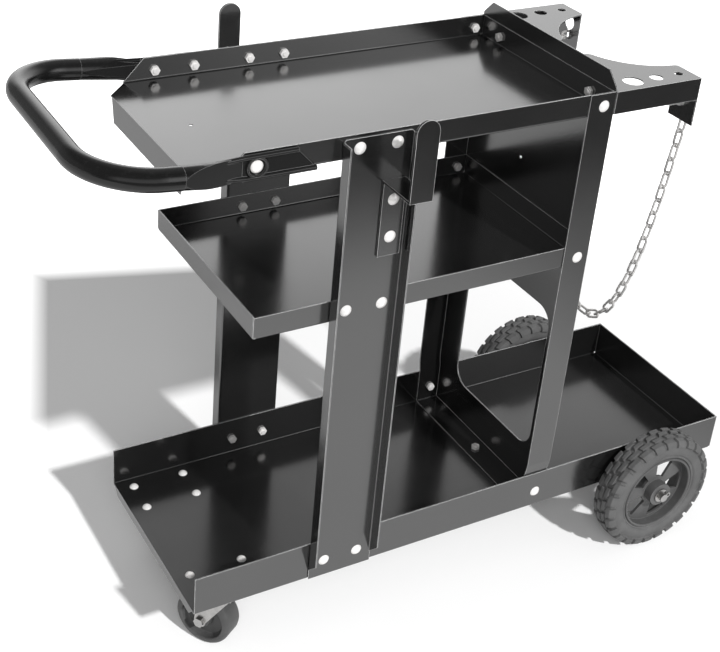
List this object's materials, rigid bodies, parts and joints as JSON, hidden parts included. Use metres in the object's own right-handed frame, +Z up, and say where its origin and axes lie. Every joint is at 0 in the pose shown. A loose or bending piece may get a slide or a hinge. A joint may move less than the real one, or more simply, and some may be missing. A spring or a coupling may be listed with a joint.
{
  "type": "welding cart",
  "caption": "Three-tray sheet-metal welding cart with a bent tube handle, rear wheels, front swivel casters, cable hooks, and brackets with a chain for a gas bottle.",
  "frame": {"origin": "on the ground, midway along and across the cart's outer box", "axes": "+X towards the rear wheels and bottle brackets, -Y the near side of the picture, +Z up"},
  "size_m": [0.9445, 0.379, 0.733],
  "materials": {
    "powder_coat": "semi-gloss black powder coat",
    "zinc_plate": "bright zinc plate",
    "rim_plastic": "satin moulded plastic",
    "tyre_rubber": "matte rubber with block tread",
    "caster_rubber": "smooth satin rubber"
  },
  "bodies": {
    "cart": {"bottom_tray": "powder_coat", "middle_tray": "powder_coat", "top_tray": "powder_coat", "back_panel": "powder_coat", "near_post": "powder_coat", "far_post": "powder_coat", "near_cable_hook": "powder_coat", "far_cable_hook": "powder_coat", "push_handle": "powder_coat", "near_bottle_bracket": "powder_coat", "far_bottle_bracket": "powder_coat", "chain_end_links": "zinc_plate", "rear_axle": "zinc_plate", "near_axle_bracket": "powder_coat", "far_axle_bracket": "powder_coat", "near_axle_spacer": "zinc_plate", "far_axle_spacer": "zinc_plate", "near_wheel_washer": "zinc_plate", "far_wheel_washer": "zinc_plate", "near_cotter_pin": "zinc_plate", "far_cotter_pin": "zinc_plate", "near_caster_plate": "zinc_plate", "far_caster_plate": "zinc_plate", "near_caster_race": "zinc_plate", "far_caster_race": "zinc_plate", "near_swivel_pin": "zinc_plate", "far_swivel_pin": "zinc_plate", "post_bolts": "zinc_plate", "post_nuts": "zinc_plate", "panel_bolts": "zinc_plate", "panel_nuts": "zinc_plate", "handle_bolts": "zinc_plate", "handle_nuts": "zinc_plate", "hook_bolts": "zinc_plate", "hook_nuts": "zinc_plate", "bracket_bolts": "zinc_plate", "bracket_nuts": "zinc_plate", "caster_bolts": "zinc_plate", "caster_nuts": "zinc_plate", "foot_bolt": "zinc_plate", "foot_nut": "zinc_plate"},
    "near_rear_wheel": {"near_wheel_rim": "rim_plastic", "near_wheel_tyre": "tyre_rubber"},
    "far_rear_wheel": {"far_wheel_rim": "rim_plastic", "far_wheel_tyre": "tyre_rubber"},
    "near_caster_swivel": {"near_caster_fork": "zinc_plate", "near_caster_axle": "zinc_plate"},
    "far_caster_swivel": {"far_caster_fork": "zinc_plate", "far_caster_axle": "zinc_plate"},
    "near_caster_roller": {"near_caster_wheel": "caster_rubber", "near_caster_bush": "zinc_plate"},
    "far_caster_roller": {"far_caster_wheel": "caster_rubber", "far_caster_bush": "zinc_plate"},
    "chain": {"safety_chain": "zinc_plate"}
  },
  "joints": [
    {"name": "near_wheel_spin", "type": "hinge", "parent": "cart", "child": "near_rear_wheel", "pos_m": [0.34525, -0.157, 0.089], "axis": [0, 1, 0], "continuous": true},
    {"name": "near_caster_turn", "type": "hinge", "parent": "cart", "child": "near_caster_swivel", "pos_m": [-0.28075, -0.092, 0.09], "axis": [0, 0, 1], "continuous": true},
    {"name": "near_caster_roll", "type": "hinge", "parent": "near_caster_swivel", "child": "near_caster_roller", "pos_m": [-0.29164, -0.07523, 0.038], "axis": [0.8387, 0.5446, 0], "continuous": true},
    {"name": "far_wheel_spin", "type": "hinge", "parent": "cart", "child": "far_rear_wheel", "pos_m": [0.34525, 0.157, 0.089], "axis": [0, 1, 0], "continuous": true},
    {"name": "far_caster_turn", "type": "hinge", "parent": "cart", "child": "far_caster_swivel", "pos_m": [-0.28075, 0.092, 0.09], "axis": [0, 0, 1], "continuous": true},
    {"name": "far_caster_roll", "type": "hinge", "parent": "far_caster_swivel", "child": "far_caster_roller", "pos_m": [-0.26075, 0.092, 0.038], "axis": [0, 1, 0], "continuous": true},
    {"name": "chain_swing", "type": "hinge", "parent": "cart", "child": "chain", "pos_m": [0.30685, 0, 0.66326], "axis": [0, 1, 0], "range_deg": [-75, 2]}
  ]
}
